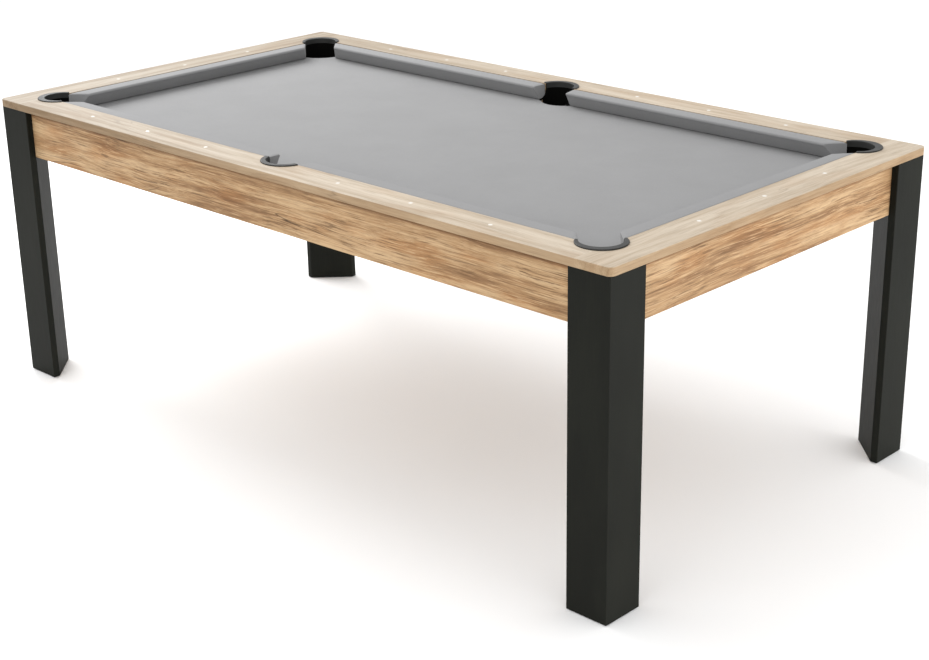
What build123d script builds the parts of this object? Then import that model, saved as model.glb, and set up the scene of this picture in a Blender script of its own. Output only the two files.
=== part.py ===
"""Seven-foot pool table with drop pockets and corner legs, in millimetres.

The origin is on the floor under the table's centre. +X runs along the table, +Y across it, +Z up.
Front is -Y, back is +Y, left is -X and right is +X. Pieces that repeat are made once, in the back
right quarter (+X, +Y) or on the +X or +Y side, and mirrored into their other places.
"""

from build123d import *
import os
from math import atan2, degrees, sqrt

# ---- Driving dimensions -------------------------------------------------------------------------
TABLE_LENGTH = 2134
TABLE_WIDTH = 1168
RAIL_TOP = 790
RAIL_THICKNESS = 20
LONG_RAIL_WIDTH = 89
END_RAIL_WIDTH = 94
RAIL_CORNER_RADIUS = 15
RAIL_EASED_EDGE = 1.2
RAIL_OVERHANG = 4  # past the outer faces of the legs

PANEL = 18  # thickness of the apron, leg, bed and beam boards
APRON_HEIGHT = 128
LEG_FACE = 110
LEG_INNER_PANEL = 12
FLOOR_GAP = 2.5  # from the floor to the bottom of a leg

BED_TOP = 746
CLOTH = 1
FIT_GAP = 0.5  # between boards that slide into place

CUSHION_DEPTH = 42  # from the wood to the tip of the nose
CUSHION_BOTTOM = 749
CUSHION_TOP = 789.5
NOSE_TOP = 788.5
NOSE_HEIGHT = 784
NOSE_UNDER = 780
NOSE_ROUND = (4, 2.5)  # how far the rounded nose runs back, above and below its tip
CUSHION_UNDERCUT = 22

CORNER_POCKET = (945, 467)
SIDE_POCKET = (0, 484)
CORNER_RIM_SHIFT = 6.5  # a corner rim is this much wider outside, along X and along Y
RIM_INNER = 46.5
CORNER_RIM_OUTER = 56
SIDE_RIM_OUTER = 60
RIM_PROUD = 3
RIM_SKIRT = 12
RIM_TIP_ROUND = 3.6
RIM_EDGE_ROUND = 1.8
CUP_INNER = 48.5
SIDE_WALL_START = -20  # degrees from +X, where the side cup's wall begins above the cloth
SIDE_WALL_FRONT = 468
SIDE_WALL_SWEEP = 20  # radius of the curve from the wall's upright edge to its low lip
SIDE_LIP_HEIGHT = 4
CUP_WALL = 3
CUP_BOTTOM = 645
CUP_HALF_TURN = 99  # degrees each way from a corner cup's back, where it passes the bed
POCKET_CUT = 52  # radius cut in the rails
BED_HOLE = 52.5
SIDE_HOLE_FRONT = (33, 60)  # the front edge's distance from the pocket's centre, and its radius
CORNER_HOLE_FRONT = (26, 80)

SIGHT_RADIUS = 5
SIGHT_DEPTH = 3
LONG_SIGHTS = (237, 470, 705)
LONG_SIGHT_INSET = 49
END_SIGHTS = (-234, 0, 234)
END_SIGHT_INSET = 54

FOOT_INSET = 40  # from a leg's outer faces to its foot's axis
FOOT_PAD_RADIUS = 17
FOOT_PAD_HEIGHT = 8
FOOT_NUT_RADIUS = 8.5
STUD_RADIUS = 5
STUD_TOP = 62
FOOT_BLOCK_BOTTOM = 14
FOOT_BLOCK_HEIGHT = 36
INSERT_RADIUS = 7
INSERT_BORE = 5.06
INSERT_LENGTH = 25

BEAM_DEPTH = 80
CROSS_BEAM_X = 400
CLEAT = (14, 20)  # width and depth
CORNER_BLOCK = 32
BOLT_RADIUS = 4
BOLT_HOLE = 4.25
BOLT_HEAD_RADIUS = 6.5
BOLT_HEAD = 5.3
BOLT_GRIP_IN_LEG = 12

# ---- Worked out from them -----------------------------------------------------------------------
half_length = TABLE_LENGTH / 2
half_width = TABLE_WIDTH / 2
rail_bottom = RAIL_TOP - RAIL_THICKNESS
end_cloth_line = half_length - END_RAIL_WIDTH  # where the wood stops and the cushion starts
long_cloth_line = half_width - LONG_RAIL_WIDTH
end_nose_line = end_cloth_line - CUSHION_DEPTH
long_nose_line = long_cloth_line - CUSHION_DEPTH

leg_x = half_length - RAIL_OVERHANG
leg_y = half_width - RAIL_OVERHANG
apron_x = leg_x - PANEL  # outer faces of the aprons
apron_y = leg_y - PANEL
inside_x = apron_x - PANEL  # inner faces of the aprons
inside_y = apron_y - PANEL
apron_bottom = rail_bottom - APRON_HEIGHT
bed_bottom = BED_TOP - PANEL
cloth_top = BED_TOP + CLOTH

cup_outer = CUP_INNER + CUP_WALL
cup_top = RAIL_TOP - 1
wall_foot = cloth_top + FIT_GAP  # where a cup's wall, above the cloth, begins

# Corner cushion ends, at the nose and at the wood.
LONG_CORNER_NOSE = 868
LONG_CORNER_BACK = 907
END_CORNER_NOSE = 390
END_CORNER_BACK = 429
# Side pocket cushion end, at the nose and at the wood.
SIDE_NOSE = 58
SIDE_BACK = 52

os.makedirs("parts", exist_ok=True)
SIDES_X = (("left", -1), ("right", 1))
SIDES_Y = (("front", -1), ("back", 1))


def save(piece, name):
    """Label a finished piece and write it."""
    piece.label = name
    export_step(piece, f"parts/{name}.step")


def mirrored(piece, side_x=1, side_y=1):
    """Copy a piece from the +X, +Y quarter into another quarter."""
    if side_x < 0:
        piece = mirror(piece, about=Plane.YZ)
    if side_y < 0:
        piece = mirror(piece, about=Plane.XZ)
    return piece


def save_quarters(piece, name):
    """Write one piece for each corner of the table."""
    for y_word, side_y in SIDES_Y:
        for x_word, side_x in SIDES_X:
            save(mirrored(piece, side_x, side_y), f"{name}_{y_word}_{x_word}")


def save_across(piece, name):
    """Write the front and back copies of a piece made at the back."""
    for y_word, side_y in SIDES_Y:
        save(mirrored(piece, 1, side_y), f"{name}_{y_word}")


def save_along(piece, name):
    """Write the left and right copies of a piece made at the right."""
    for x_word, side_x in SIDES_X:
        save(mirrored(piece, side_x, 1), f"{name}_{x_word}")


# ---- Top rails ----------------------------------------------------------------------------------
rail_middle_y = (long_cloth_line + half_width) / 2
long_sight_y = half_width - LONG_SIGHT_INSET
end_sight_x = half_length - END_SIGHT_INSET
long_sights = [(side * x, long_sight_y) for x in LONG_SIGHTS for side in (-1, 1)]
end_sights = [(end_sight_x, y) for y in END_SIGHTS]

with BuildPart() as long_rail:
    with BuildSketch(Plane.XY.offset(rail_bottom)):
        with Locations((0, rail_middle_y)):
            Rectangle(2 * end_cloth_line, LONG_RAIL_WIDTH)
    extrude(amount=RAIL_THICKNESS)
    chamfer(long_rail.edges().filter_by(Axis.X).sort_by(Axis.Y)[-2:], RAIL_EASED_EDGE)
    with BuildSketch(Plane.XY.offset(rail_bottom)):
        with Locations(SIDE_POCKET, CORNER_POCKET, (-CORNER_POCKET[0], CORNER_POCKET[1])):
            Circle(POCKET_CUT)
    extrude(amount=RAIL_THICKNESS, mode=Mode.SUBTRACT)
    with BuildSketch(Plane.XY.offset(RAIL_TOP)):
        with Locations(long_sights):
            Circle(SIGHT_RADIUS)
    extrude(amount=-SIGHT_DEPTH, mode=Mode.SUBTRACT)
save_across(long_rail.part, "top_rail")

with BuildPart() as end_rail:
    with BuildSketch(Plane.XY.offset(rail_bottom)):
        with Locations(((end_cloth_line + half_length) / 2, 0)):
            Rectangle(END_RAIL_WIDTH, TABLE_WIDTH)
    extrude(amount=RAIL_THICKNESS)
    fillet(end_rail.edges().filter_by(Axis.Z).group_by(Axis.X)[-1], RAIL_CORNER_RADIUS)
    outer_edges = [
        edge
        for group in (end_rail.edges().group_by(Axis.Z)[-1], end_rail.edges().group_by(Axis.Z)[0])
        for edge in group
        if edge.center().X > end_cloth_line + 1
    ]
    chamfer(outer_edges, RAIL_EASED_EDGE)
    with BuildSketch(Plane.XY.offset(rail_bottom)):
        with Locations(CORNER_POCKET, (CORNER_POCKET[0], -CORNER_POCKET[1])):
            Circle(POCKET_CUT)
    extrude(amount=RAIL_THICKNESS, mode=Mode.SUBTRACT)
    with BuildSketch(Plane.XY.offset(RAIL_TOP)):
        with Locations(end_sights):
            Circle(SIGHT_RADIUS)
    extrude(amount=-SIGHT_DEPTH, mode=Mode.SUBTRACT)
save_along(end_rail.part, "end_rail")

with BuildPart() as sights:
    with BuildSketch(Plane.XY.offset(RAIL_TOP)):
        with Locations(long_sights, end_sights):
            Circle(SIGHT_RADIUS)
        with Locations([(x, -y) for x, y in long_sights], [(-x, y) for x, y in end_sights]):
            Circle(SIGHT_RADIUS)
    extrude(amount=-SIGHT_DEPTH)
save(sights.part, "rail_sights")


# ---- Cushions and the sub-rails that carry them -------------------------------------------------
def cushion_section():
    """Draw a cushion's section: across is the distance from the wood towards the bed, up is Z."""
    above, below = (CUSHION_DEPTH - back for back in NOSE_ROUND)
    with BuildSketch() as section:
        with BuildLine():
            back = Line((0, CUSHION_BOTTOM), (0, CUSHION_TOP))
            top = Line(back @ 1, (above, NOSE_TOP))
            nose = ThreePointArc(top @ 1, (CUSHION_DEPTH, NOSE_HEIGHT), (below, NOSE_UNDER))
            under = Line(nose @ 1, (CUSHION_DEPTH - CUSHION_UNDERCUT, CUSHION_BOTTOM))
            Line(under @ 1, back @ 0)
        make_face()
    return section.sketch


def outline(points):
    """Draw a flat shape with straight sides through the points."""
    with BuildSketch() as shape:
        with BuildLine():
            Polyline(*points, close=True)
        make_face()
    return shape.sketch


along_x = Plane(origin=(0, long_cloth_line, 0), x_dir=(0, -1, 0), z_dir=(-1, 0, 0))
with BuildPart() as long_cushion:
    with BuildSketch(along_x):
        add(cushion_section())
    extrude(amount=-half_length)
    with BuildSketch(Plane.XY.offset(CUSHION_BOTTOM - 1)):
        add(
            outline(
                [
                    (SIDE_BACK, long_cloth_line),
                    (SIDE_NOSE, long_nose_line),
                    (LONG_CORNER_NOSE, long_nose_line),
                    (LONG_CORNER_BACK, long_cloth_line),
                ]
            )
        )
    extrude(amount=RAIL_TOP - CUSHION_BOTTOM, mode=Mode.INTERSECT)
save_quarters(long_cushion.part, "cushion")

along_y = Plane(origin=(end_cloth_line, 0, 0), x_dir=(-1, 0, 0), z_dir=(0, 1, 0))
with BuildPart() as end_cushion:
    with BuildSketch(along_y):
        add(cushion_section())
    extrude(amount=half_width, both=True)
    with BuildSketch(Plane.XY.offset(CUSHION_BOTTOM - 1)):
        add(
            outline(
                [
                    (end_cloth_line, -END_CORNER_BACK),
                    (end_nose_line, -END_CORNER_NOSE),
                    (end_nose_line, END_CORNER_NOSE),
                    (end_cloth_line, END_CORNER_BACK),
                ]
            )
        )
    extrude(amount=RAIL_TOP - CUSHION_BOTTOM, mode=Mode.INTERSECT)
save_along(end_cushion.part, "cushion")

SUB_RAIL_SIDE_END = 54
SUB_RAIL_CORNER_END = 900
SUB_RAIL_END_HALF = 415
sub_rail_height = rail_bottom - cloth_top

with BuildPart() as long_sub_rail:
    with BuildSketch(Plane.XY.offset(cloth_top)):
        with Locations((SUB_RAIL_SIDE_END, long_cloth_line)):
            Rectangle(
                SUB_RAIL_CORNER_END - SUB_RAIL_SIDE_END,
                inside_y - FIT_GAP - long_cloth_line,
                align=Align.MIN,
            )
    extrude(amount=sub_rail_height)
save_quarters(long_sub_rail.part, "sub_rail")

with BuildPart() as end_sub_rail:
    with BuildSketch(Plane.XY.offset(cloth_top)):
        with Locations((end_cloth_line, 0)):
            Rectangle(
                inside_x - FIT_GAP - end_cloth_line,
                2 * SUB_RAIL_END_HALF,
                align=(Align.MIN, Align.CENTER),
            )
    extrude(amount=sub_rail_height)
save_along(end_sub_rail.part, "sub_rail")


# ---- Bed panel and cloth ------------------------------------------------------------------------
def pocket_hole(centre, front, away):
    """Draw a pocket's hole: round at the back, a flatter arc towards the bed.

    front is the flatter arc's distance from the centre and its radius. away is the direction, as a
    unit vector, that points from the bed's middle through the pocket.
    """
    distance, radius = front
    reach = radius - distance
    with BuildSketch(Plane.XY, mode=Mode.PRIVATE) as hole:
        with Locations(centre):
            Circle(BED_HOLE)
        with Locations((centre[0] + away[0] * reach, centre[1] + away[1] * reach)):
            Circle(radius, mode=Mode.INTERSECT)
    return hole.sketch


def bed_sheet(thickness):
    """Make the bed's outline with its six holes, as thick as asked."""
    with BuildPart() as sheet:
        with BuildSketch():
            Rectangle(2 * (inside_x - FIT_GAP), 2 * (inside_y - FIT_GAP))
            for _, side_y in SIDES_Y:
                side_centre = (0, side_y * SIDE_POCKET[1])
                add(pocket_hole(side_centre, SIDE_HOLE_FRONT, (0, side_y)), mode=Mode.SUBTRACT)
                for _, side_x in SIDES_X:
                    centre = (side_x * CORNER_POCKET[0], side_y * CORNER_POCKET[1])
                    away = (side_x / sqrt(2), side_y / sqrt(2))
                    add(pocket_hole(centre, CORNER_HOLE_FRONT, away), mode=Mode.SUBTRACT)
        extrude(amount=thickness)
    return sheet.part


save(bed_sheet(PANEL).moved(Location((0, 0, bed_bottom))), "bed_panel")
save(bed_sheet(CLOTH).moved(Location((0, 0, BED_TOP))), "bed_cloth")


# ---- Pockets ------------------------------------------------------------------------------------
def ring_sector(inner, outer, start, sweep):
    """Draw part of a flat ring, from a start angle in degrees, round the sketch's origin."""
    with BuildSketch() as ring:
        with BuildLine():
            outside = CenterArc((0, 0), outer, start, sweep)
            inside = CenterArc((0, 0), inner, start, sweep)
            Line(outside @ 0, inside @ 0)
            Line(outside @ 1, inside @ 1)
        make_face()
    return ring.sketch


def pocket_rim(centre, collar_centre, collar_radius):
    """A flat collar on the wood with rounded edges, and a skirt inside the cup.

    It stops at the lines where the wood meets the cushions, so it is open towards the bed.
    """
    with BuildSketch(Plane.XY, mode=Mode.PRIVATE) as bed_side:
        Rectangle(2 * end_cloth_line, 2 * long_cloth_line)
    with BuildPart() as rim:
        with BuildSketch(Plane.XY.offset(RAIL_TOP)) as collar:
            with Locations(collar_centre):
                Circle(collar_radius)
            with Locations(centre):
                Circle(RIM_INNER, mode=Mode.SUBTRACT)
            add(bed_side.sketch, mode=Mode.SUBTRACT)
            fillet(collar.vertices(), RIM_TIP_ROUND)
        extrude(amount=RIM_PROUD)
        fillet(rim.edges().group_by(Axis.Z)[-1], RIM_EDGE_ROUND)
        with BuildSketch(Plane.XY.offset(RAIL_TOP + 1)):
            with Locations(centre):
                Circle(CUP_INNER - FIT_GAP)
                Circle(RIM_INNER, mode=Mode.SUBTRACT)
            add(bed_side.sketch, mode=Mode.SUBTRACT)
        extrude(amount=-RIM_SKIRT - 1)
    return rim.part


def pocket_cup(centre, start, sweep, bed_start, bed_sweep):
    """A cup under the bed, with a wall standing up to the rim round the back of the pocket.

    The wall is narrower where it passes through the bed's hole than it is above the cloth.
    """
    with BuildPart() as cup:
        with BuildSketch(Plane(origin=(*centre, CUP_BOTTOM))):
            Circle(cup_outer)
        extrude(amount=bed_bottom - FIT_GAP - CUP_BOTTOM)
        with BuildSketch(Plane(origin=(*centre, CUP_BOTTOM + CUP_WALL))):
            Circle(CUP_INNER)
        extrude(amount=bed_bottom - CUP_BOTTOM, mode=Mode.SUBTRACT)
        with BuildSketch(Plane(origin=(*centre, bed_bottom - 2))):
            add(ring_sector(CUP_INNER, cup_outer, bed_start, bed_sweep))
        extrude(amount=wall_foot - bed_bottom + 2)
        with BuildSketch(Plane(origin=(*centre, wall_foot))):
            add(ring_sector(CUP_INNER, cup_outer, start, sweep))
        extrude(amount=cup_top - wall_foot)
    return cup.part


corner_start = degrees(atan2(END_CORNER_BACK - CORNER_POCKET[1], end_cloth_line - CORNER_POCKET[0]))
corner_sweep = 2 * (45 - corner_start)
corner_cup = pocket_cup(CORNER_POCKET, corner_start, corner_sweep, 45 - CUP_HALF_TURN, 2 * CUP_HALF_TURN)
save_quarters(corner_cup, "pocket_cup")


def side_wall_cut():
    """Draw, across Y and up Z, what is cut from the side cup's wall: all but a low lip in front."""
    back = long_cloth_line + FIT_GAP
    lip_top = wall_foot + SIDE_LIP_HEIGHT
    above = cup_top + 1
    with BuildSketch(Plane.XY, mode=Mode.PRIVATE) as cut:
        with BuildLine():
            upright = Line((back, above), (back, lip_top + SIDE_WALL_SWEEP))
            sweep = TangentArc(upright @ 1, (back - SIDE_WALL_SWEEP, lip_top), tangent=(0, -1))
            Polyline(
                sweep @ 1,
                (SIDE_WALL_FRONT, lip_top),
                (SIDE_WALL_FRONT, wall_foot - 1),
                (SIDE_WALL_FRONT - cup_outer, wall_foot - 1),
                (SIDE_WALL_FRONT - cup_outer, above),
                upright @ 0,
            )
        make_face()
    return cut.sketch


full_cup = pocket_cup(SIDE_POCKET, SIDE_WALL_START, 180 - 2 * SIDE_WALL_START, 0, 180)
with BuildPart() as side_cup:
    add(full_cup)
    with BuildSketch(Plane.YZ):
        add(side_wall_cut())
    extrude(amount=cup_outer + 1, both=True, mode=Mode.SUBTRACT)
save_across(side_cup.part, "pocket_cup_side")

collar_centre = (CORNER_POCKET[0] + CORNER_RIM_SHIFT, CORNER_POCKET[1] + CORNER_RIM_SHIFT)
save_quarters(pocket_rim(CORNER_POCKET, collar_centre, CORNER_RIM_OUTER), "pocket_rim")
save_across(pocket_rim(SIDE_POCKET, SIDE_POCKET, SIDE_RIM_OUTER), "pocket_rim_side")

# ---- Frame: aprons, corner blocks, beams and cleats ---------------------------------------------
foot_x = leg_x - FOOT_INSET
foot_y = leg_y - FOOT_INSET
bolt_x = inside_x - CORNER_BLOCK / 2
bolt_y = inside_y - CORNER_BLOCK / 2
LONG_BOLT_HEIGHTS = (665, 700)
END_BOLT_HEIGHTS = (682, 715)
block_bottom = apron_bottom + 8

through_long = [
    Plane(origin=(bolt_x, inside_y - CORNER_BLOCK, height), z_dir=(0, 1, 0))
    for height in LONG_BOLT_HEIGHTS
]
through_end = [
    Plane(origin=(inside_x - CORNER_BLOCK, bolt_y, height), z_dir=(1, 0, 0))
    for height in END_BOLT_HEIGHTS
]
bolt_length = CORNER_BLOCK + PANEL + BOLT_GRIP_IN_LEG


def cut_bolt_holes(planes, sides):
    """Cut the frame bolts' holes in the piece in progress, in each corner it reaches."""
    for plane in planes:
        for side_x, side_y in sides:
            origin = (side_x * plane.origin.X, side_y * plane.origin.Y, plane.origin.Z)
            z_dir = (side_x * plane.z_dir.X, side_y * plane.z_dir.Y, 0)
            with BuildSketch(Plane(origin=origin, z_dir=z_dir)) as hole:
                Circle(BOLT_HOLE)
            extrude(hole.sketch, amount=bolt_length, mode=Mode.SUBTRACT)


with BuildPart() as long_apron:
    with BuildSketch(Plane.XY.offset(apron_bottom)):
        with Locations((0, (inside_y + apron_y) / 2)):
            Rectangle(2 * apron_x, PANEL)
    extrude(amount=APRON_HEIGHT)
    cut_bolt_holes(through_long, [(-1, 1), (1, 1)])
save_across(long_apron.part, "long_apron")

with BuildPart() as end_apron:
    with BuildSketch(Plane.XY.offset(apron_bottom)):
        with Locations(((inside_x + apron_x) / 2, 0)):
            Rectangle(PANEL, 2 * inside_y)
    extrude(amount=APRON_HEIGHT)
    cut_bolt_holes(through_end, [(1, -1), (1, 1)])
save_along(end_apron.part, "end_apron")

with BuildPart() as corner_block:
    with BuildSketch(Plane.XY.offset(block_bottom)):
        with Locations((inside_x, inside_y)):
            Rectangle(CORNER_BLOCK, CORNER_BLOCK, align=Align.MAX)
    extrude(amount=bed_bottom - block_bottom)
    cut_bolt_holes(through_long + through_end, [(1, 1)])
save_quarters(corner_block.part, "corner_block")

with BuildPart() as frame_bolts:
    for plane in through_long + through_end:
        with BuildSketch(plane):
            Circle(BOLT_RADIUS)
        extrude(amount=bolt_length)
        with BuildSketch(plane):
            RegularPolygon(BOLT_HEAD_RADIUS, 6)
        extrude(amount=-BOLT_HEAD)
    mirror(about=Plane.YZ)
    mirror(about=Plane.XZ)
save(frame_bolts.part, "frame_bolts")

beam_bottom = bed_bottom - BEAM_DEPTH
cleat_width, cleat_depth = CLEAT

with BuildPart() as centre_beam:
    with BuildSketch(Plane.XY.offset(beam_bottom)):
        Rectangle(2 * (inside_x - FIT_GAP), PANEL)
    extrude(amount=BEAM_DEPTH)
    with BuildSketch(Plane.XY.offset(beam_bottom + BEAM_DEPTH / 2)):
        with Locations((-CROSS_BEAM_X, 0), (CROSS_BEAM_X, 0)):
            Rectangle(PANEL + FIT_GAP, PANEL)
    extrude(amount=BEAM_DEPTH / 2, mode=Mode.SUBTRACT)
save(centre_beam.part, "centre_beam")

with BuildPart() as cross_beam:
    with BuildSketch(Plane.XY.offset(beam_bottom)):
        with Locations((CROSS_BEAM_X, 0)):
            Rectangle(PANEL, 2 * (inside_y - FIT_GAP))
    extrude(amount=BEAM_DEPTH)
    with BuildSketch(Plane.XY.offset(beam_bottom)):
        with Locations((CROSS_BEAM_X, 0)):
            Rectangle(PANEL, PANEL + FIT_GAP)
    extrude(amount=BEAM_DEPTH / 2, mode=Mode.SUBTRACT)
    with BuildSketch(Plane.XY.offset(bed_bottom)):
        with Locations((CROSS_BEAM_X, inside_y), (CROSS_BEAM_X, -inside_y)):
            Rectangle(PANEL, 2 * (cleat_width + FIT_GAP))
    extrude(amount=-cleat_depth - FIT_GAP, mode=Mode.SUBTRACT)
save_along(cross_beam.part, "cross_beam")

CLEAT_HALF_LENGTH = 985
with BuildPart() as bed_cleats:
    with BuildSketch(Plane.XY.offset(bed_bottom)):
        with Locations((0, inside_y - cleat_width / 2), (0, cleat_width / 2 - inside_y)):
            Rectangle(2 * CLEAT_HALF_LENGTH, cleat_width)
        with Locations(SIDE_POCKET, (SIDE_POCKET[0], -SIDE_POCKET[1])):
            Circle(cup_outer + 1, mode=Mode.SUBTRACT)
    extrude(amount=-cleat_depth)
save(bed_cleats.part, "bed_cleats")

# ---- Legs ---------------------------------------------------------------------------------------
leg_height = rail_bottom - FLOOR_GAP
inner_edge = LEG_FACE - LEG_INNER_PANEL * sqrt(2)


def leg_outline(points):
    """Draw an outline given as distances in from the leg's two outer faces."""
    return outline([(leg_x - across, leg_y - back) for across, back in points])


with BuildPart() as leg_shell:
    with BuildSketch(Plane.XY.offset(FLOOR_GAP)):
        add(
            leg_outline(
                [
                    (0, 0),
                    (LEG_FACE, 0),
                    (LEG_FACE, PANEL),
                    (PANEL, PANEL),
                    (PANEL, LEG_FACE),
                    (0, LEG_FACE),
                ]
            )
        )
    extrude(amount=leg_height)
    free_edges = [
        edge
        for edge in leg_shell.edges().filter_by(Axis.Z)
        if edge.center().X < leg_x - LEG_FACE + 1 or edge.center().Y < leg_y - LEG_FACE + 1
    ]
    fillet(free_edges, 2)
    cut_bolt_holes(through_long + through_end, [(1, 1)])
save_quarters(leg_shell.part, "leg_shell")

with BuildPart() as leg_inner:
    with BuildSketch(Plane.XY.offset(FLOOR_GAP)):
        add(
            leg_outline(
                [(LEG_FACE, PANEL), (inner_edge, PANEL), (PANEL, inner_edge), (PANEL, LEG_FACE)]
            )
        )
    extrude(amount=apron_bottom - FLOOR_GAP - FIT_GAP)
save_quarters(leg_inner.part, "leg_inner_panel")

# ---- Feet ---------------------------------------------------------------------------------------
with BuildPart() as foot_blocks:
    with BuildSketch(Plane.XY.offset(FOOT_BLOCK_BOTTOM)):
        add(leg_outline([(PANEL, PANEL), (inner_edge - 1, PANEL), (PANEL, inner_edge - 1)]))
        with Locations((foot_x, foot_y)):
            Circle(INSERT_RADIUS, mode=Mode.SUBTRACT)
    extrude(amount=FOOT_BLOCK_HEIGHT)
    mirror(about=Plane.YZ)
    mirror(about=Plane.XZ)
save(foot_blocks.part, "foot_blocks")

with BuildPart() as foot_inserts:
    with BuildSketch(Plane.XY.offset(FOOT_BLOCK_BOTTOM)):
        with Locations((foot_x, foot_y)):
            Circle(INSERT_RADIUS)
            Circle(INSERT_BORE, mode=Mode.SUBTRACT)
    extrude(amount=INSERT_LENGTH)
    mirror(about=Plane.YZ)
    mirror(about=Plane.XZ)
save(foot_inserts.part, "foot_inserts")

with BuildPart() as levelling_foot:
    with BuildSketch(Plane(origin=(foot_x, foot_y, 0))):
        Circle(FOOT_PAD_RADIUS)
    extrude(amount=FOOT_PAD_HEIGHT)
    fillet(levelling_foot.edges().group_by(Axis.Z)[-1], 2)
    with BuildSketch(Plane(origin=(foot_x, foot_y, FOOT_PAD_HEIGHT))):
        RegularPolygon(FOOT_NUT_RADIUS, 6)
    extrude(amount=FOOT_BLOCK_BOTTOM - FIT_GAP - FOOT_PAD_HEIGHT)
    with BuildSketch(Plane(origin=(foot_x, foot_y, FOOT_PAD_HEIGHT))):
        Circle(STUD_RADIUS)
    extrude(amount=STUD_TOP - FOOT_PAD_HEIGHT)
save_quarters(levelling_foot.part, "levelling_foot")
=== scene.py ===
"""Looks of the pool table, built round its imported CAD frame. Lengths are in metres."""

import math

import bmesh
import bpy
from mathutils import Matrix, Vector, noise


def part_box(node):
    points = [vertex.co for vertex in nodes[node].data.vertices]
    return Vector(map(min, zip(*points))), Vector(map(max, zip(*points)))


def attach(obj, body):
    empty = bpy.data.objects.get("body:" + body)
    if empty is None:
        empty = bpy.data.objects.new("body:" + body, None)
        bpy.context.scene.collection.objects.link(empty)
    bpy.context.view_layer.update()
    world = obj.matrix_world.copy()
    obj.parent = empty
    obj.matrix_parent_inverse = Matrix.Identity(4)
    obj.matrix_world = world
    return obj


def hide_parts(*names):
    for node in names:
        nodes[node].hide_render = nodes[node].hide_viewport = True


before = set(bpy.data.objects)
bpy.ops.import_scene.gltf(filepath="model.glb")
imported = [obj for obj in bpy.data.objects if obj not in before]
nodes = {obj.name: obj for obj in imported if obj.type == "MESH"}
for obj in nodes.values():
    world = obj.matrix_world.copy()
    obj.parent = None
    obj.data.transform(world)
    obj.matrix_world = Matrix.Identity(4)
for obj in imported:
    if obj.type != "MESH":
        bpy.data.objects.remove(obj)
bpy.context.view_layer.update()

# ---- Measures taken from the frame ----------------------------------------------------------------
rail_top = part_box("top_rail_back")[1][2]
long_cloth_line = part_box("cushion_back_right")[1][1]
long_nose_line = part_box("cushion_back_right")[0][1]
end_cloth_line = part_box("cushion_right")[1][0]
end_nose_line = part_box("cushion_right")[0][0]
cushion_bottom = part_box("cushion_right")[0][2]
bed_low, bed_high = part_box("bed_cloth")
apron_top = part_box("long_apron_front")[1][2]

# ---- Measures that repeat the CAD model's -----------------------------------------------------------
CORNER_POCKET = (0.945, 0.467)
SIDE_POCKET = (0.0, 0.484)
HOLE_RADIUS = 0.0525
SIDE_HOLE_FRONT = (0.033, 0.060)  # the front edge's distance from the pocket's centre, and its radius
CORNER_HOLE_FRONT = (0.026, 0.080)
LONG_CORNER = (0.907, 0.868)  # a long cushion's corner end, at the wood and at the nose
END_CORNER = (0.429, 0.390)
SIDE_END = (0.052, 0.058)  # a long cushion's side pocket end, at the wood and at the nose

CUSHION_TOP = rail_top - 0.0005
NOSE_TOP = rail_top - 0.0015
NOSE_TIP = rail_top - 0.006
UNDERCUT = 0.022


# ---- Materials ------------------------------------------------------------------------------------
class Shader:
    """A node tree that is built up a node at a time."""

    def __init__(self, name):
        self.material = bpy.data.materials.new(name)
        self.material.use_nodes = True
        self.tree = self.material.node_tree
        self.surface = self.tree.nodes["Principled BSDF"]

    def node(self, kind, inputs=None, **settings):
        made = self.tree.nodes.new(kind)
        for key, value in settings.items():
            setattr(made, key, value)
        for key, value in (inputs or {}).items():
            if isinstance(value, bpy.types.NodeSocket):
                self.tree.links.new(value, made.inputs[key])
            else:
                made.inputs[key].default_value = value
        return made

    def position(self):
        return self.node("ShaderNodeTexCoord").outputs["Object"]

    def scaled(self, vector, scale):
        return self.node("ShaderNodeVectorMath", {0: vector, 1: scale}, operation="MULTIPLY").outputs[0]

    def noise(self, vector, detail=3.0, roughness=0.5):
        values = {"Vector": vector, "Scale": 1.0, "Detail": detail, "Roughness": roughness}
        return self.node("ShaderNodeTexNoise", values).outputs["Fac"]

    def math(self, operation, first, second=0.0):
        return self.node("ShaderNodeMath", {0: first, 1: second}, operation=operation).outputs[0]

    def band(self, value, low, high, out_low=0.0, out_high=1.0):
        values = {"Value": value, "From Min": low, "From Max": high, "To Min": out_low, "To Max": out_high}
        return self.node("ShaderNodeMapRange", values).outputs[0]

    def ramp(self, value, stops):
        made = self.node("ShaderNodeValToRGB", {"Fac": value})
        while len(made.color_ramp.elements) < len(stops):
            made.color_ramp.elements.new(0.5)
        for element, (place, colour) in zip(made.color_ramp.elements, stops):
            element.position = place
            element.color = (*colour, 1.0)
        return made.outputs["Color"]

    def mix(self, factor, first, second, blend="MIX"):
        made = self.node("ShaderNodeMix", data_type="RGBA", blend_type=blend)
        for socket, value in ((made.inputs[0], factor), (made.inputs[6], first), (made.inputs[7], second)):
            if isinstance(value, bpy.types.NodeSocket):
                self.tree.links.new(value, socket)
            else:
                socket.default_value = value
        return made.outputs[2]

    def bump(self, height, strength, distance):
        values = {"Height": height, "Strength": strength, "Distance": distance}
        self.plug("Normal", self.node("ShaderNodeBump", values).outputs[0])

    def plug(self, socket, value):
        if isinstance(value, bpy.types.NodeSocket):
            self.tree.links.new(value, self.surface.inputs[socket])
        else:
            self.surface.inputs[socket].default_value = value


def grain_position(shader, along_y):
    """Object position with its first axis along the grain."""
    if not along_y:
        return shader.position()
    parts = shader.node("ShaderNodeSeparateXYZ", {0: shader.position()}).outputs
    return shader.node("ShaderNodeCombineXYZ", {0: parts[1], 1: parts[0], 2: parts[2]}).outputs[0]


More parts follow.
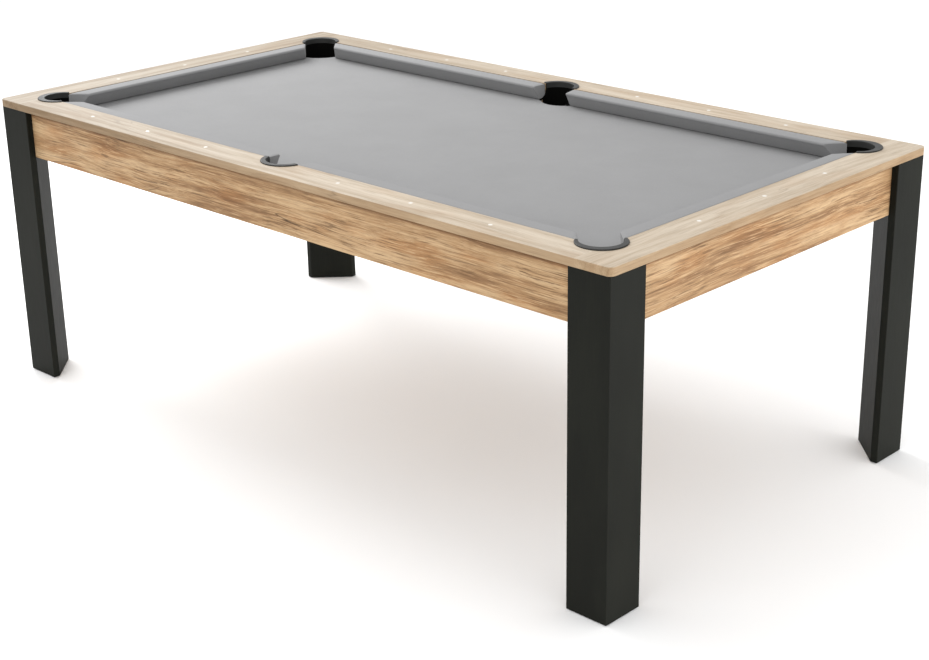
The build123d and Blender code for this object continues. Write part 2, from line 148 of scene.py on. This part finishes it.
def oak(name, along_y, tones, strip, left_shade, dash_strength, crack_depth, offset):
    """Oak-look laminate: broad streaks, crisp dark dashes, light flecks, rosy patches, rare cracks.

    strip tints a level strip of the board as painted shade: the heights where it starts and is full, and
    its tint.
    The next argument is how much of its brightness the wood keeps at the table's left end: painted shade
    that darkens the wood smoothly towards that end.
    """
    dark, mid, light = tones
    shader = Shader(name)
    place = grain_position(shader, along_y)
    place = shader.node("ShaderNodeVectorMath", {0: place, 1: offset}, operation="ADD").outputs[0]
    sway = shader.noise(shader.scaled(place, (2.3, 5.0, 5.0)), detail=2.0)
    sway = shader.band(sway, 0.0, 1.0, -0.016, 0.016)
    shift = shader.node("ShaderNodeCombineXYZ", {1: sway, 2: sway}).outputs[0]
    place = shader.node("ShaderNodeVectorMath", {0: place, 1: shift}, operation="ADD").outputs[0]

    broad = shader.noise(shader.scaled(place, (1.9, 42.0, 42.0)), detail=6.0, roughness=0.70)
    colour = shader.ramp(broad, [(0.36, dark), (0.48, mid), (0.61, light)])
    rosy = shader.noise(shader.scaled(place, (5.0, 19.0, 19.0)), detail=3.0)
    rosy = shader.band(rosy, 0.50, 0.64, 0.0, 0.9)
    blush = shader.mix(1.0, colour, (0.82, 0.66, 0.52, 1.0), "MULTIPLY")
    colour = shader.mix(shader.math("MULTIPLY", rosy, dash_strength), colour, blush)

    streaks = shader.noise(shader.scaled(place, (11.0, 340.0, 340.0)), detail=4.0, roughness=0.60)
    dashes = shader.band(streaks, 0.53, 0.61)
    where = shader.noise(shader.scaled(place, (6.0, 30.0, 30.0)), detail=2.0)
    dashes = shader.math("MULTIPLY", dashes, shader.band(where, 0.40, 0.62, 0.35, 1.0))
    pores = shader.noise(shader.scaled(place, (32.0, 900.0, 900.0)), detail=2.0)
    dashes = shader.math("MAXIMUM", dashes, shader.band(pores, 0.56, 0.66, 0.0, 0.45))
    dashes = shader.math("MULTIPLY", dashes, dash_strength)
    colour = shader.mix(dashes, colour, (*[0.55 * part for part in dark], 1.0))
    flecks = shader.math("MULTIPLY", shader.band(streaks, 0.45, 0.36, 0.0, 0.7), dash_strength)
    colour = shader.mix(flecks, colour, (*[1.12 * part for part in light], 1.0))

    seam = shader.noise(shader.scaled(place, (1.5, 24.0, 24.0)), detail=2.0, roughness=0.4)
    seam = shader.math("ABSOLUTE", shader.math("SUBTRACT", seam, 0.5))
    seam = shader.band(seam, 0.0, 0.007, 1.0, 0.0)
    where = shader.noise(shader.scaled(place, (2.1, 5.0, 5.0)), detail=1.0)
    crack = shader.math("MULTIPLY", seam, shader.band(where, 0.52, 0.60))
    crack = shader.math("MULTIPLY", crack, crack_depth)
    colour = shader.mix(crack, colour, (*[0.22 * part for part in dark], 1.0))

    # Painted shade: a level strip of the board, darkened by the strip's tint.
    strip_start, strip_full, tint = strip
    along, _, height = shader.node("ShaderNodeSeparateXYZ", {0: shader.position()}).outputs
    tinted = shader.mix(1.0, colour, (*tint, 1.0), "MULTIPLY")
    colour = shader.mix(shader.band(height, strip_start, strip_full), colour, tinted)
    # Painted shade: the wood darkens smoothly towards the table's left end.
    left_end_shade = shader.band(along, -1.05, 0.4, left_shade, 1.0)
    colour = shader.mix(1.0, colour, left_end_shade, "MULTIPLY")

    shader.plug("Base Color", colour)
    shader.plug("Roughness", shader.band(broad, 0.3, 0.7, 0.62, 0.52))
    shader.bump(shader.math("MULTIPLY", shader.math("ADD", dashes, crack), -1.0), 0.2, 0.0004)
    shader.plug("Specular IOR Level", 0.18)
    return shader.material


WEAVE = 7000.0  # radians per metre, so the threads are about 0.9 mm apart


def cloth(name, colour):
    """Napped playing cloth: a fine felt grain with a faint weave and slow mottling."""
    shader = Shader(name)
    place = shader.position()
    felt = shader.noise(shader.scaled(place, (900.0, 900.0, 900.0)), detail=3.0, roughness=0.7)
    parts = shader.node("ShaderNodeSeparateXYZ", {0: place}).outputs
    warp = shader.math("SINE", shader.math("MULTIPLY", parts[0], WEAVE))
    weft = shader.math("SINE", shader.math("MULTIPLY", parts[1], WEAVE))
    weave = shader.math("MULTIPLY", warp, weft)
    mottle = shader.noise(shader.scaled(place, (7.0, 7.0, 7.0)), detail=4.0, roughness=0.6)
    fine, slow = shader.band(felt, 0.3, 0.7, 0.90, 1.08), shader.band(mottle, 0.3, 0.7, -0.03, 0.03)
    tone = shader.math("ADD", fine, slow)
    shader.plug("Base Color", shader.mix(1.0, (*colour, 1.0), tone, "MULTIPLY"))
    shader.plug("Roughness", 0.92)
    shader.plug("Specular IOR Level", 0.15)
    shader.plug("Sheen Weight", 0.06)
    shader.plug("Sheen Roughness", 0.45)
    height = shader.math("ADD", shader.math("MULTIPLY", weave, 0.25), felt)
    shader.bump(height, 0.35, 0.0003)
    return shader.material


def moulded(name, colour, rough, specular):
    """Moulded plastic with a fine spark-eroded grain and slight wear in its gloss."""
    shader = Shader(name)
    place = shader.position()
    spark = shader.noise(shader.scaled(place, (900.0, 900.0, 900.0)), detail=2.0)
    rub = shader.noise(shader.scaled(place, (35.0, 35.0, 35.0)), detail=3.0)
    light = tuple(1.25 * part for part in colour)
    shader.plug("Base Color", shader.mix(shader.band(rub, 0.3, 0.7), (*colour, 1.0), (*light, 1.0)))
    shader.plug("Roughness", shader.band(rub, 0.3, 0.7, rough - 0.05, rough + 0.07))
    shader.plug("Specular IOR Level", specular)
    shader.bump(spark, 0.15, 0.0003)
    return shader.material


def black_foil(name):
    """Black foil on board, with a soft embossed grain that runs up the leg."""
    shader = Shader(name)
    place = shader.position()
    pores = shader.noise(shader.scaled(place, (420.0, 420.0, 26.0)), detail=3.0, roughness=0.6)
    cloudy = shader.noise(shader.scaled(place, (9.0, 9.0, 3.0)), detail=3.0)
    tone = shader.math("ADD", shader.band(pores, 0.3, 0.7, -0.2, 0.2), cloudy)
    colour = shader.ramp(tone, [(0.30, (0.0052, 0.0058, 0.0038)), (0.75, (0.0092, 0.0100, 0.0068))])
    shader.plug("Base Color", colour)
    shader.plug("Roughness", shader.band(pores, 0.3, 0.7, 0.52, 0.62))
    shader.plug("Specular IOR Level", 0.11)
    shader.bump(pores, 0.22, 0.0004)
    return shader.material


def fibreboard(name):
    """Raw fibreboard: pressed brown fibres and darker flecks."""
    shader = Shader(name)
    place = shader.position()
    fibre = shader.noise(shader.scaled(place, (260.0, 260.0, 260.0)), detail=4.0, roughness=0.7)
    fleck = shader.noise(shader.scaled(place, (900.0, 900.0, 900.0)), detail=1.0)
    colour = shader.ramp(fibre, [(0.30, (0.27, 0.18, 0.11)), (0.68, (0.45, 0.33, 0.22))])
    fleck = shader.band(fleck, 0.66, 0.72, 0.0, 0.6)
    shader.plug("Base Color", shader.mix(fleck, colour, (0.14, 0.09, 0.05, 1.0)))
    shader.plug("Roughness", 0.85)
    shader.bump(fibre, 0.3, 0.0005)
    return shader.material


def zinc(name):
    """Zinc-plated steel with fine turning marks."""
    shader = Shader(name)
    place = shader.position()
    turning = shader.noise(shader.scaled(place, (120.0, 120.0, 2600.0)), detail=2.0)
    haze = shader.noise(shader.scaled(place, (60.0, 60.0, 60.0)), detail=3.0)
    shader.plug("Base Color", shader.ramp(haze, [(0.3, (0.46, 0.47, 0.49)), (0.7, (0.62, 0.62, 0.63))]))
    shader.plug("Metallic", 1.0)
    shader.plug("Roughness", shader.band(turning, 0.3, 0.7, 0.28, 0.42))
    shader.bump(turning, 0.2, 0.0002)
    return shader.material


def ivory(name):
    """White sight dots: glossy, with a faint pearly cloud."""
    shader = Shader(name)
    cloud = shader.noise(shader.scaled(shader.position(), (500.0, 500.0, 500.0)), detail=3.0)
    shader.plug("Base Color", shader.ramp(cloud, [(0.3, (0.66, 0.63, 0.57)), (0.7, (0.76, 0.74, 0.69))]))
    shader.plug("Roughness", shader.band(cloud, 0.3, 0.7, 0.16, 0.24))
    shader.bump(cloud, 0.08, 0.0002)
    return shader.material


TOP_OAK = ((0.385, 0.305, 0.218), (0.465, 0.385, 0.292), (0.540, 0.462, 0.365))
APRON_OAK = ((0.240, 0.132, 0.062), (0.378, 0.232, 0.115), (0.505, 0.345, 0.193))
RAIL_EDGE_SHADE = (rail_top - 0.0006, rail_top - 0.0016, (0.74, 0.62, 0.48))  # painted shade: a rail's edge faces below its top, tinted browner and darker
RAIL_SHADOW_BAND = (apron_top - 0.017, apron_top - 0.011, (0.50, 0.42, 0.36))  # painted shadow along the aprons' top, under the rails' overhang
CLOTH_GREY = (0.251, 0.251, 0.253)

oak_top_x = oak("oak_top_x", False, TOP_OAK, RAIL_EDGE_SHADE, 0.64, 0.30, 0.30, (0.0, 0.0, 0.0))
oak_top_y = oak("oak_top_y", True, TOP_OAK, RAIL_EDGE_SHADE, 0.64, 0.30, 0.30, (3.1, 1.7, 0.4))
oak_apron_x = oak("oak_apron_x", False, APRON_OAK, RAIL_SHADOW_BAND, 0.96, 0.85, 0.9, (7.3, 2.2, 1.9))
oak_apron_y = oak("oak_apron_y", True, APRON_OAK, RAIL_SHADOW_BAND, 0.96, 0.85, 0.9, (5.2, 0.6, 2.7))
bed_felt = cloth("bed_felt", CLOTH_GREY)
cushion_felt = cloth("cushion_felt", CLOTH_GREY)
rim_plastic = moulded("rim_plastic", (0.022, 0.0225, 0.0215), 0.5, 0.25)
cup_plastic = moulded("cup_plastic", (0.0022, 0.0022, 0.0018), 0.8, 0.06)
foot_nylon = moulded("foot_nylon", (0.012, 0.012, 0.012), 0.5, 0.3)
leg_foil = black_foil("leg_foil")
raw_board = fibreboard("raw_board")
plated = zinc("plated")
sight_white = ivory("sight_white")

CAD_MATERIALS = {
    "top_rail": oak_top_x,
    "end_rail": oak_top_y,
    "long_apron": oak_apron_x,
    "end_apron": oak_apron_y,
    "leg_shell": leg_foil,
    "leg_inner_panel": leg_foil,
    "pocket_cup": cup_plastic,
    "pocket_rim": rim_plastic,
    "rail_sights": sight_white,
    "levelling_foot": foot_nylon,
    "foot_inserts": plated,
    "frame_bolts": plated,
    "cushion": cushion_felt,
    "bed_cloth": bed_felt,
}
for node_name, node_object in nodes.items():
    chosen = raw_board
    for start, material in CAD_MATERIALS.items():
        if node_name.startswith(start):
            chosen = material
    for slot in node_object.material_slots:
        slot.material = chosen


# ---- Mesh helpers ---------------------------------------------------------------------------------
WELD = 0.00002


def edit_mesh(mesh, edit):
    """Run one edit, which takes an open bmesh, on a mesh."""
    shell = bmesh.new()
    shell.from_mesh(mesh)
    edit(shell)
    shell.to_mesh(mesh)
    shell.free()


def face_outwards(shell):
    """Point every face's normal out of its closed shell."""
    bmesh.ops.recalc_face_normals(shell, faces=shell.faces)


def weld(shell):
    """Join the vertices that a filled curve leaves doubled along its edges."""
    bmesh.ops.remove_doubles(shell, verts=shell.verts, dist=WELD)


def piece(name, verts, faces, material, sharp_degrees):
    """Make a smooth-shaded mesh piece that rides on the table."""
    mesh = bpy.data.meshes.new(name)
    mesh.from_pydata(verts, [], faces)
    mesh.validate()
    mesh.update()
    edit_mesh(mesh, face_outwards)
    mesh.polygons.foreach_set("use_smooth", [True] * len(mesh.polygons))
    mesh.set_sharp_from_angle(angle=math.radians(sharp_degrees))
    mesh.materials.append(material)
    made = bpy.data.objects.new(name, mesh)
    bpy.context.scene.collection.objects.link(made)
    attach(made, "table")
    return made


def between(low, high, part):
    return low + (high - low) * part


# ---- Cushions -------------------------------------------------------------------------------------
FEATHER_GAP = 0.0014  # shadow line between the wood and the cloth
TUCK = (0.0042, 0.0016)  # how wide and how deep the cloth dips into that line
CROWN = 0.0004
NOSE_ROUND = 0.004  # how far the rounded nose runs back above its tip, and how far it drops below
NOSE_LIP = 0.0025  # how far it runs back below its tip
FOLD_REACH = 0.060  # how far the cloth's folds run in from a pocket
FOLD_HEIGHT = 0.00045
END_ROUND = (0.0035, 0.0022)  # how far in, and how deep, the top rounds off at a cushion's ends


def quarter_round(part):
    """Height of a quarter circle, 0 to 1, at a part of the way in from its edge."""
    return math.sqrt(max(0.0, 1 - (1 - part) ** 2))


def cushion_heights(across, depth):
    """Top and bottom heights of a cushion at a distance out from the wood."""
    to_nose = depth - across
    tuck_width, tuck_depth = TUCK
    if to_nose >= NOSE_ROUND:
        part = across / (depth - NOSE_ROUND)
        top = between(CUSHION_TOP, NOSE_TOP, part) + CROWN * math.sin(math.pi * part)
    else:
        top = between(NOSE_TIP, NOSE_TOP, quarter_round(to_nose / NOSE_ROUND))
    if across < tuck_width:
        top -= tuck_depth * (1 - across / tuck_width) ** 2
    if to_nose >= UNDERCUT:
        bottom = cushion_bottom
    elif to_nose >= NOSE_LIP:
        part = (to_nose - NOSE_LIP) / (UNDERCUT - NOSE_LIP)
        bottom = between(NOSE_TIP - NOSE_ROUND, cushion_bottom, part)
    else:
        bottom = NOSE_TIP - NOSE_ROUND * quarter_round(to_nose / NOSE_LIP)
    return top, bottom


def spread(low, high):
    """Stations from one end to the other, close together near both ends."""
    near = [0.0, 0.0015, 0.0035, 0.006, 0.009, 0.0125, 0.0165, 0.021, 0.026, 0.032, 0.040, 0.050, 0.062]
    steps = 24
    middle = [between(near[-1], high - low - near[-1], step / steps) for step in range(1, steps)]
    return [low + x for x in near] + [low + x for x in middle] + [high - x for x in reversed(near)]


def cushion(name, depth, low_end, high_end, place, node):
    """A cloth-covered cushion. low_end and high_end give its ends at a distance out from the wood."""
    rows = [0.0, 0.0008, 0.0017, 0.0027]
    rows += [between(0.0027, depth - UNDERCUT, step / 6) for step in range(1, 7)]
    rows += [between(depth - UNDERCUT, depth - NOSE_ROUND, step / 5) for step in range(1, 6)]
    rows += [depth - back for back in (0.003, 0.0022, 0.0015, 0.0009, 0.0004, 0.0001)]
    end_reach, end_drop = END_ROUND
    verts = []
    grid_top, grid_bottom = [], []
    for across in rows:
        top, bottom = cushion_heights(across, depth)
        low, high = low_end(across), high_end(across)
        top_row, bottom_row = [], []
        for along in spread(low, high):
            to_end = min(along - low, high - along)
            ease = math.exp(-to_end / end_reach)
            fold = noise.noise(Vector((along * 160.0, across * 35.0, depth * 50.0)))
            fold *= FOLD_HEIGHT * max(0.0, 1 - to_end / FOLD_REACH) ** 2
            out = FEATHER_GAP + across * (1 - FEATHER_GAP / depth)
            top_row.append(len(verts))
            verts.append(place(along, out, top + fold - end_drop * ease))
            bottom_row.append(len(verts))
            verts.append(place(along, out, bottom))
        grid_top.append(top_row)
        grid_bottom.append(bottom_row)
    faces = []
    last_row, last_station = len(rows) - 1, len(grid_top[0]) - 1
    for row in range(last_row):
        for station in range(last_station):
            here = [(row, station), (row + 1, station), (row + 1, station + 1), (row, station + 1)]
            faces.append([grid_top[r][s] for r, s in here])
            faces.append([grid_bottom[r][s] for r, s in reversed(here)])
        for station in (0, last_station):
            faces.append(
                [
                    grid_top[row][station],
                    grid_bottom[row][station],
                    grid_bottom[row + 1][station],
                    grid_top[row + 1][station],
                ]
            )
    for station in range(last_station):
        for row in (0, last_row):
            faces.append(
                [
                    grid_top[row][station],
                    grid_top[row][station + 1],
                    grid_bottom[row][station + 1],
                    grid_bottom[row][station],
                ]
            )
    made = piece(name, verts, faces, cushion_felt, 50.0)
    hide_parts(node)


def long_cushion_side_end(across):
    return between(*SIDE_END, across / (long_cloth_line - long_nose_line))


def long_cushion_corner_end(across):
    return between(*LONG_CORNER, across / (long_cloth_line - long_nose_line))


def end_cushion_end(across):
    return between(*END_CORNER, across / (end_cloth_line - end_nose_line))


def make_cushions():
    for y_word, side_y in (("front", -1), ("back", 1)):
        for x_word, side_x in (("left", -1), ("right", 1)):
            cushion(
                f"cushion_cloth_{y_word}_{x_word}",
                long_cloth_line - long_nose_line,
                long_cushion_side_end,
                long_cushion_corner_end,
                lambda along, out, up, x=side_x, y=side_y: (x * along, y * (long_cloth_line - out), up),
                f"cushion_{y_word}_{x_word}",
            )
    for x_word, side_x in (("left", -1), ("right", 1)):
        cushion(
            f"cushion_cloth_{x_word}",
            end_cloth_line - end_nose_line,
            lambda across: -end_cushion_end(across),
            end_cushion_end,
            lambda along, out, up, x=side_x: (x * (end_cloth_line - out), along, up),
            f"cushion_{x_word}",
        )


# ---- Bed cloth ------------------------------------------------------------------------------------
LIP_RADIUS = 0.0025
LIP_DROP = 0.014
FRONT_STEPS = 24
BACK_STEPS = 40
cloth_thickness = bed_high[2] - bed_low[2]


def hole_outline(front_distance, front_radius):
    """One pocket's hole, round its centre, with the bed towards -Y: back arc, then front edge."""
    reach = front_radius - front_distance
    cross = (front_radius**2 - HOLE_RADIUS**2 - reach**2) / (2 * reach)
    half = math.sqrt(HOLE_RADIUS**2 - cross**2)
    start = math.atan2(-cross, half)
    front_half = math.asin(half / front_radius)
    turns = [between(-front_half, front_half, step / FRONT_STEPS) for step in range(FRONT_STEPS + 1)]
    front = [(front_radius * math.sin(turn), reach - front_radius * math.cos(turn)) for turn in turns]
    turns = [between(start, math.pi - start, step / BACK_STEPS) for step in range(1, BACK_STEPS)]
    back = [(HOLE_RADIUS * math.cos(turn), HOLE_RADIUS * math.sin(turn)) for turn in turns]
    return back, front


def pocket_places():
    """Every pocket's centre, its turn from one that opens towards -Y, and its hole's front edge."""
    places = []
    for side_y in (-1, 1):
        centre = (SIDE_POCKET[0], side_y * SIDE_POCKET[1])
        places.append((centre, 0.0 if side_y > 0 else math.pi, SIDE_HOLE_FRONT))
        for side_x in (-1, 1):
            centre = (side_x * CORNER_POCKET[0], side_y * CORNER_POCKET[1])
            turn = math.atan2(side_y, side_x) - math.pi / 2
            places.append((centre, turn, CORNER_HOLE_FRONT))
    return places


def turned(point, turn, centre):
    x, y = point
    return (
        centre[0] + x * math.cos(turn) - y * math.sin(turn),
        centre[1] + x * math.sin(turn) + y * math.cos(turn),
    )


def cloth_holes():
    """For each pocket: its hole in the flat cloth, its front edge, and that edge before the lip."""
    holes = []
    for centre, turn, front_edge in pocket_places():
        back, front = hole_outline(*front_edge)
        set_back = [(x, y - LIP_RADIUS) for x, y in front]
        parts = (back + set_back, front, set_back)
        holes.append([[turned(point, turn, centre) for point in points] for points in parts])
    return holes


def flat_cloth(holes):
    """A flat slab of cloth with its holes cut out, centred on Z = 0."""
    curve = bpy.data.curves.new("bed_cloth_outline", "CURVE")
    curve.dimensions = "2D"
    curve.fill_mode = "BOTH"
    curve.extrude = cloth_thickness / 2
    (low_x, low_y, _), (high_x, high_y, _) = bed_low, bed_high
    border = [(low_x, low_y), (high_x, low_y), (high_x, high_y), (low_x, high_y)]
    for points in [border] + [hole for hole, _, _ in holes]:
        spline = curve.splines.new("POLY")
        spline.points.add(len(points) - 1)
        for spot, (x, y) in zip(spline.points, points):
            spot.co = (x, y, 0.0, 1.0)
        spline.use_cyclic_u = True
    holder = bpy.data.objects.new("bed_cloth_outline", curve)
    bpy.context.scene.collection.objects.link(holder)
    depsgraph = bpy.context.evaluated_depsgraph_get()
    flat = bpy.data.meshes.new_from_object(holder.evaluated_get(depsgraph))
    bpy.data.objects.remove(holder)
    edit_mesh(flat, weld)
    return flat


def add_lip(verts, faces, edge, inset):
    """Add a closed strip of cloth that turns down from inset over a hole's front edge."""
    base = len(verts)
    profile = [(0.0, 0.0)]
    profile += [(math.sin(a), math.cos(a) - 1) for a in (math.radians(15 * k) for k in range(1, 7))]
    profile.append((1.0, -LIP_DROP / LIP_RADIUS))
    shrink = 1 - cloth_thickness / LIP_RADIUS
    for (edge_x, edge_y), (in_x, in_y) in zip(edge, inset):
        reach_x, reach_y = edge_x - in_x, edge_y - in_y
        for out, down in profile:
            verts.append((in_x + reach_x * out, in_y + reach_y * out, bed_high[2] + down * LIP_RADIUS))
        for out, down in profile:
            if down >= -1:
                inner_z = bed_high[2] - cloth_thickness + down * shrink * LIP_RADIUS
            else:
                inner_z = bed_high[2] + down * LIP_RADIUS
            verts.append((in_x + reach_x * out * shrink, in_y + reach_y * out * shrink, inner_z))
    count = len(profile)
    stride = 2 * count
    loop = list(range(count)) + list(range(stride - 1, count - 1, -1))
    for station in range(len(edge) - 1):
        first, second = base + station * stride, base + (station + 1) * stride
        for k in range(stride):
            a, b = loop[k], loop[(k + 1) % stride]
            faces.append([first + a, first + b, second + b, second + a])
    last = base + (len(edge) - 1) * stride
    faces.append([base + k for k in loop])
    faces.append([last + k for k in reversed(loop)])


def make_bed_cloth():
    """The stretched cloth: flat, with six holes, and its front edges turned down into the pockets."""
    holes = cloth_holes()
    flat = flat_cloth(holes)
    middle = (bed_low[2] + bed_high[2]) / 2
    verts = [(v.co.x, v.co.y, v.co.z + middle) for v in flat.vertices]
    faces = [list(polygon.vertices) for polygon in flat.polygons]
    for _, edge, inset in holes:
        add_lip(verts, faces, edge, inset)
    made = piece("playing_cloth", verts, faces, bed_felt, 35.0)
    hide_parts("bed_cloth")


# ---- Camera, light and floor ------------------------------------------------------------------------
CAMERA_PLACE = Vector((3.0564, -3.0312, 1.8821))
CAMERA_TARGET = Vector((0.46882, -0.37468, 0.450))
CAMERA_ROLL = -1.031  # degrees
CAMERA_LENS = 67.46  # millimetres, on a 36 mm wide sensor
SKY_STRENGTH = 1.1
FLOOR_HALF = 40.0


def make_camera():
    data = bpy.data.cameras.new("camera")
    data.lens = CAMERA_LENS
    data.sensor_width = 36.0
    camera = bpy.data.objects.new("camera", data)
    aim = (CAMERA_TARGET - CAMERA_PLACE).to_track_quat("-Z", "Y").to_matrix().to_4x4()
    roll = Matrix.Rotation(math.radians(CAMERA_ROLL), 4, "Z")
    camera.matrix_world = Matrix.Translation(CAMERA_PLACE) @ aim @ roll
    bpy.context.scene.collection.objects.link(camera)
    bpy.context.scene.camera = camera


def area_light(name, place, target, size, power):
    data = bpy.data.lights.new(name, "AREA")
    data.shape = "RECTANGLE"
    data.size, data.size_y = size
    data.energy = power
    light = bpy.data.objects.new(name, data)
    light.location = place
    aim = Vector(target) - Vector(place)
    light.rotation_euler = aim.to_track_quat("-Z", "Y").to_euler()
    bpy.context.scene.collection.objects.link(light)


def make_lights():
    """White surroundings, a soft key from the left end, and two weaker fills."""
    world = bpy.data.worlds.new("studio")
    world.use_nodes = True
    background = world.node_tree.nodes["Background"]
    background.inputs["Color"].default_value = (1.0, 1.0, 1.0, 1.0)
    background.inputs["Strength"].default_value = SKY_STRENGTH
    bpy.context.scene.world = world
    area_light("left_key", (-2.7, 0.3, 2.7), (-0.2, 0.0, 0.75), (2.4, 2.4), 100.0)
    area_light("right_fill", (4.2, 0.5, 0.45), (1.0, 0.0, 0.45), (3.0, 0.6), 60.0)
    area_light("front_fill", (0.5, -4.5, 2.4), (0.0, 0.4, 0.7), (3.6, 2.0), 36.0)


def floor_white():
    shader = Shader("floor_white")
    cloudy = shader.noise(shader.scaled(shader.position(), (1.5, 1.5, 1.5)), detail=2.0)
    pale, paler = (0.960, 0.960, 0.960), (0.975, 0.975, 0.975)
    shader.plug("Base Color", shader.ramp(cloudy, [(0.3, pale), (0.7, paler)]))
    shader.plug("Roughness", 0.9)
    return shader.material


def make_floor():
    half = FLOOR_HALF
    verts = [(-half, -half, 0), (half, -half, 0), (half, half, 0), (-half, half, 0)]
    mesh = bpy.data.meshes.new("floor")
    mesh.from_pydata(verts, [], [(0, 1, 2, 3)])
    mesh.materials.append(floor_white())
    floor = bpy.data.objects.new("floor", mesh)
    bpy.context.scene.collection.objects.link(floor)


make_camera()
make_cushions()
make_bed_cloth()
make_lights()
make_floor()
bpy.context.scene.view_settings.view_transform = "Standard"
